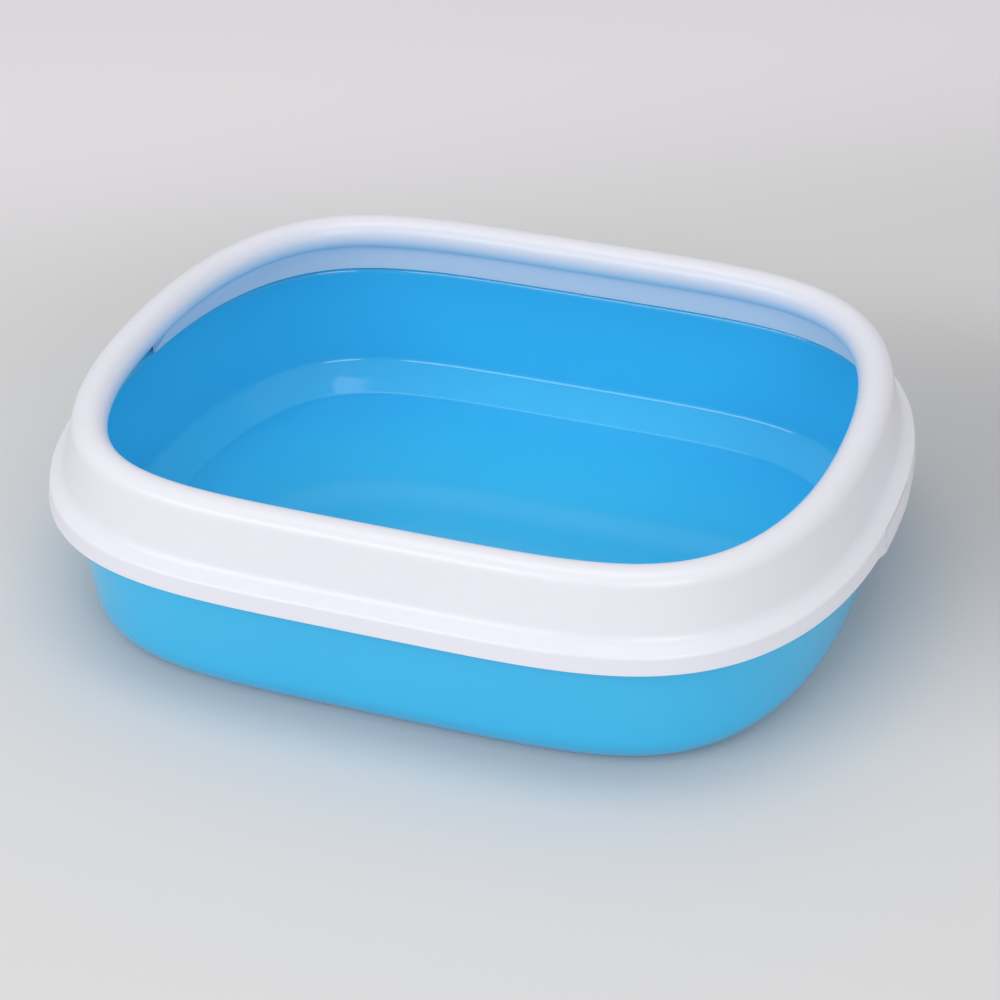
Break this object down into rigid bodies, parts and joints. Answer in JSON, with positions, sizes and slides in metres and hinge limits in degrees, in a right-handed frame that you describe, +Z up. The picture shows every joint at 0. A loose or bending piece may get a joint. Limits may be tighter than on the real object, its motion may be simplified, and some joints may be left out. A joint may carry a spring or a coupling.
{
  "type": "cat litter tray with raised rim",
  "caption": "Open pan with rounded corners and a rolled lip, and a tall rim with a beaded top that drops over the lip to keep litter in.",
  "frame": {"origin": "on the floor, under the middle of the tray", "axes": "+X along the length, +Y from the front long side to the back one, +Z up"},
  "size_m": [0.4774, 0.4, 0.1263],
  "materials": {
    "tub_plastic": "glossy moulded polypropylene, sky blue",
    "rim_plastic": "semi-gloss moulded polypropylene, white"
  },
  "bodies": {
    "tub": {"tub": "tub_plastic"},
    "rim": {"rim": "rim_plastic"},
    "left_release_tab": {"left_release_tab": "rim_plastic"},
    "right_release_tab": {"right_release_tab": "rim_plastic"}
  },
  "joints": [
    {"name": "rim_lift", "type": "slide", "parent": "tub", "child": "rim", "axis": [0, 0, 1], "range_m": [0, 0.15]},
    {"name": "left_tab_flex", "type": "hinge", "parent": "rim", "child": "left_release_tab", "pos_m": [-0.23655, 0, 0.0847], "axis": [0, 1, 0], "range_deg": [0, 12], "stiffness_Nm_per_rad": 0.2},
    {"name": "right_tab_flex", "type": "hinge", "parent": "rim", "child": "right_release_tab", "pos_m": [0.23655, 0, 0.0847], "axis": [0, -1, 0], "range_deg": [0, 12], "stiffness_Nm_per_rad": 0.2}
  ]
}
